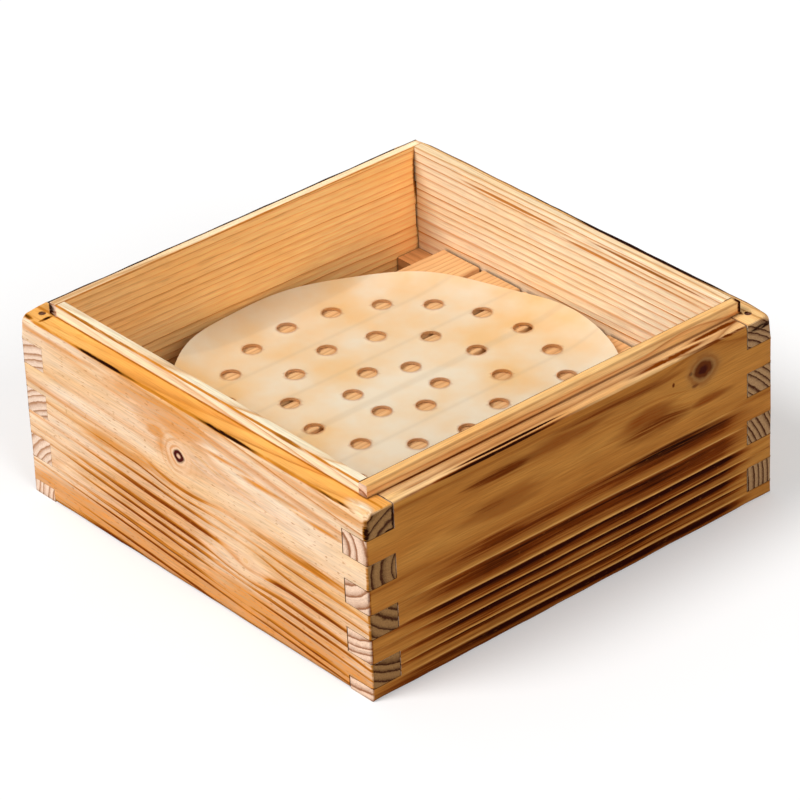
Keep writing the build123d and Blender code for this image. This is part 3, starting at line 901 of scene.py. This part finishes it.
# Floor slats: one modelled, copied to each place
slatShape = {
    "arris": 0.9 * mm,
    "arrisSteps": 3,
    "sharp": radians(60),
    "smooth": radians(35),
    "sliceLength": 9 * mm,
}
slatNodes = sorted(node for node in frame["nodes"] if node.startswith("floor_slat_"))
firstLow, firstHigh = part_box(slatNodes[0])
slatLength = firstHigh.y - firstLow.y
slat = addBlock("slat_wood", firstLow, firstHigh)
count = round(slatLength / slatShape["sliceLength"])
slicePiece(slat, [firstLow.y + n * slatLength / count for n in range(1, count)], (0, 1, 0))
applyModifier(slat, "BEVEL", width=slatShape["arris"], segments=slatShape["arrisSteps"],
              limit_method="ANGLE", angle_limit=slatShape["sharp"])
bpy.ops.object.shade_smooth_by_angle(angle=slatShape["smooth"])
slatWood = paleFir("planed_fir_slats", alongX=False, pitch=29.8, shift=0, gap=3.4)
for node in slatNodes:
    piece = copyPiece(slat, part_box(node)[0] - firstLow)
    piece.name = node + "_wood"
    setPiece(piece, "basket", slatWood, node)
bpy.data.objects.remove(slat)

cleatWood = paleFir("planed_fir_cleats", alongX=True, pitch=60, shift=0.5, gap=4.2)
steel = nailSteel("drawn_steel_wire")
for material, nodes in ((cleatWood, ("front_cleat", "back_cleat")),
                        (steel, ("corner_nails", "slat_brads", "cleat_brads"))):
    for node in nodes:
        paint(frame["nodes"][node], material)
print("floor and nails ready")

# Liner: a thin round sheet with rings of holes, laid on the slats, its rim a little wavy
linerLow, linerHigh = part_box("liner")
linerShape = {
    "radius": (linerHigh.x - linerLow.x) / 2,
    "thickness": linerHigh.z - linerLow.z,
    "sides": 192,
    "hole": 4.75 * mm,
    "holeSides": 28,
    "punchDepth": 10 * mm,
    "rings": ((81 * mm, 20), (51 * mm, 12), (21 * mm, 6)),
    "cell": 2.2 * mm,
    "wave": 0.65 * mm,
    "waveCell": (31 * mm, 37 * mm),
    "curl": 6 * mm,
    "curlStart": 84 * mm,
    "curlWaves": ((0.25, 2, 0.6), (0.2, 5, 1.9), (0.12, 9, 0)),  # height, number round, and turn
    "ridge": 0.45 * mm,  # raised edge round each hole
    "ridgeReach": 1.6 * mm,
    "smooth": radians(50),
}
slatEdges = sorted(corner.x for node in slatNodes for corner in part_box(node))
holePlaces = [(radius * cos(2 * pi * n / count), radius * sin(2 * pi * n / count))
              for radius, count in linerShape["rings"] for n in range(count)]


def modelLiner():
    radius = linerShape["radius"]
    cells = round(2 * radius / linerShape["cell"])
    pickNone()
    bpy.ops.mesh.primitive_grid_add(
        x_subdivisions=cells, y_subdivisions=cells, size=2 * radius + 2 * spare, location=(0, 0, linerLow.z))
    bpy.ops.object.transform_apply(location=True, rotation=True, scale=True)
    piece = bpy.context.object
    piece.name = "liner_sheet"
    editPiece(piece)
    bpy.ops.mesh.select_all(action="SELECT")
    bpy.ops.mesh.extrude_region_move(TRANSFORM_OT_translate={"value": (0, 0, linerShape["thickness"])})
    bpy.ops.mesh.select_all(action="SELECT")
    bpy.ops.mesh.normals_make_consistent(inside=False)
    bpy.ops.object.mode_set(mode="OBJECT")
    disc = addPin(radius, linerShape["punchDepth"], linerShape["sides"], (0, 0, linerLow.z))
    cutWith(piece, disc, "INTERSECT")

    # One punch, copied to every hole and joined
    firstX, firstY = holePlaces[0]
    punch = addPin(linerShape["hole"], linerShape["punchDepth"], linerShape["holeSides"],
                   (firstX, firstY, linerLow.z))
    bpy.ops.object.transform_apply(location=True, rotation=True, scale=True)
    others = [copyPiece(punch, (x - firstX, y - firstY, 0)) for x, y in holePlaces[1:]]
    pickPiece(punch)
    for other in others:
        other.select_set(True)
    bpy.ops.object.join()
    cutWith(piece, punch)
    return piece


def linerLift(x, y):
    # How far the sheet stands off its flat place: a slow wave, and a rim that curls up unevenly
    radius = (x * x + y * y) ** 0.5
    turn = Vector((x, y)).angle_signed(Vector((1, 0)), 0.0)
    out = max(0.0, radius - linerShape["curlStart"]) / (linerShape["radius"] - linerShape["curlStart"])
    uneven = 0.55 + sum(high * sin(waves * turn + start) for high, waves, start in linerShape["curlWaves"])
    waveX, waveY = linerShape["waveCell"]
    slow = 0.5 + 0.5 * sin(x / waveX + 1.1) * sin(y / waveY + 0.4)
    return linerShape["curl"] * out * out * uneven + linerShape["wave"] * slow * (0.3 + 0.7 * out)


liner = modelLiner()
middle = (linerLow.z + linerHigh.z) / 2
holeEdge = liner.data.attributes.new("holeEdge", "FLOAT", "POINT")
overGap = liner.data.attributes.new("overGap", "FLOAT", "POINT")
for vertex in liner.data.vertices:
    x, y, z = vertex.co
    nearest = min(((x - hx) ** 2 + (y - hy) ** 2) ** 0.5 for hx, hy in holePlaces) - linerShape["hole"]
    edge = max(0.0, 1 - nearest / linerShape["ridgeReach"])
    holeEdge.data[vertex.index].value = edge
    # Where the sheet lies over a gap between slats, for its painted shade
    onSlat = sum(place < x for place in slatEdges) % 2
    overGap.data[vertex.index].value = 1.0 - onSlat
    ridge = linerShape["ridge"] * edge if z > middle else 0.0
    vertex.co.z = z + linerLift(x, y) + ridge
pickPiece(liner)
bpy.ops.object.shade_smooth_by_angle(angle=linerShape["smooth"])
setPiece(liner, "liner", siliconeSheet("milky_silicone_sheet"), "liner")
print("liner modelled")

# Floor, light and camera
studio = {
    "floorSize": 6.0,
    "keyFrom": (-0.22, -0.62, 0.75),
    "keyStrength": 2.12,
    "fillFrom": (0.82, -0.1, 0.56),
    "fillStrength": 0.88,
    "lampAngle": 26,
    "skyGrey": 0.36,
    "floorGrey": 0.76,
    "floorLift": 0.25,
}


def seenDirectly(add):
    # 1 for what the camera sees, straight or through gloss and glass, and 0 for light on the object
    path = add("LightPath")
    seen = path["Is Camera Ray"]
    for ray in ("Is Glossy Ray", "Is Transmission Ray"):
        seen = add("Math", {0: seen, 1: path[ray]}, operation="MAXIMUM")[0]
    return seen


pickNone()
bpy.ops.mesh.primitive_plane_add(size=studio["floorSize"], location=(0, 0, 0))
floor = bpy.context.object
floor.name = "studio_floor"
floorPaint, tree, add, shader = newMaterial("pale_floor")
shader.inputs["Base Color"].default_value = [studio["floorGrey"]] * 3 + [1]
shader.inputs["Roughness"].default_value = 1.0
shader.inputs["Specular IOR Level"].default_value = 0.0
shader.inputs["Emission Color"].default_value = (1, 1, 1, 1)
lift = add("Math", {0: seenDirectly(add), 1: studio["floorLift"]}, operation="MULTIPLY")[0]
tree.links.new(lift, shader.inputs["Emission Strength"])
paint(floor, floorPaint)

world = bpy.data.worlds.new("pale_room")
world.use_nodes = True
bpy.context.scene.world = world
tree = world.node_tree
add = partial(addNode, tree)
background = tree.nodes["Background"]
skyLight = add("MapRange", {0: seenDirectly(add), 3: studio["skyGrey"]})[0]
tree.links.new(skyLight, background.inputs["Strength"])
background.inputs["Color"].default_value = (1, 1, 1, 1)

for name in ("key", "fill"):
    lamp = bpy.data.objects.new(name + "_light", bpy.data.lights.new(name + "_light", "SUN"))
    lamp.data.energy = studio[name + "Strength"]
    lamp.data.angle = radians(studio["lampAngle"])
    lamp.rotation_euler = Vector(studio[name + "From"]).to_track_quat("Z", "Y").to_euler()
    bpy.context.scene.collection.objects.link(lamp)

# The photograph's viewpoint, worked out from the basket's corners
view = {
    "azimuth": 50.242,
    "elevation": 31.048,
    "roll": -2.613,
    "distance": 2109.3 * mm,
    "aside": -0.5 * mm,
    "raised": 43.3 * mm,
    "sensor": 36,  # millimetres wide
    "focal": 4405.0 * 36 / 800,  # millimetres, from 4405 pixels in the photograph's 800
    "nearest": 50 * mm,
}
azimuth, elevation, roll = (radians(view[key]) for key in ("azimuth", "elevation", "roll"))
back = Vector((sin(azimuth) * cos(elevation), -cos(azimuth) * cos(elevation), sin(elevation)))
right = Vector((cos(azimuth), sin(azimuth), 0))
up = back.cross(right)
turnedRight = right * cos(roll) + up * sin(roll)
turnedUp = up * cos(roll) - right * sin(roll)
spot = back * view["distance"] + turnedRight * view["aside"] + turnedUp * view["raised"]
camera = bpy.data.objects.new("camera", bpy.data.cameras.new("camera"))
camera.data.lens = view["focal"]
camera.data.sensor_width = view["sensor"]
camera.data.clip_start = view["nearest"]
turned = Matrix((turnedRight, turnedUp, back)).transposed().to_4x4()
camera.matrix_world = Matrix.Translation(spot) @ turned
bpy.context.scene.collection.objects.link(camera)
bpy.context.scene.camera = camera
bpy.context.scene.view_settings.view_transform = "Standard"
print("studio ready")
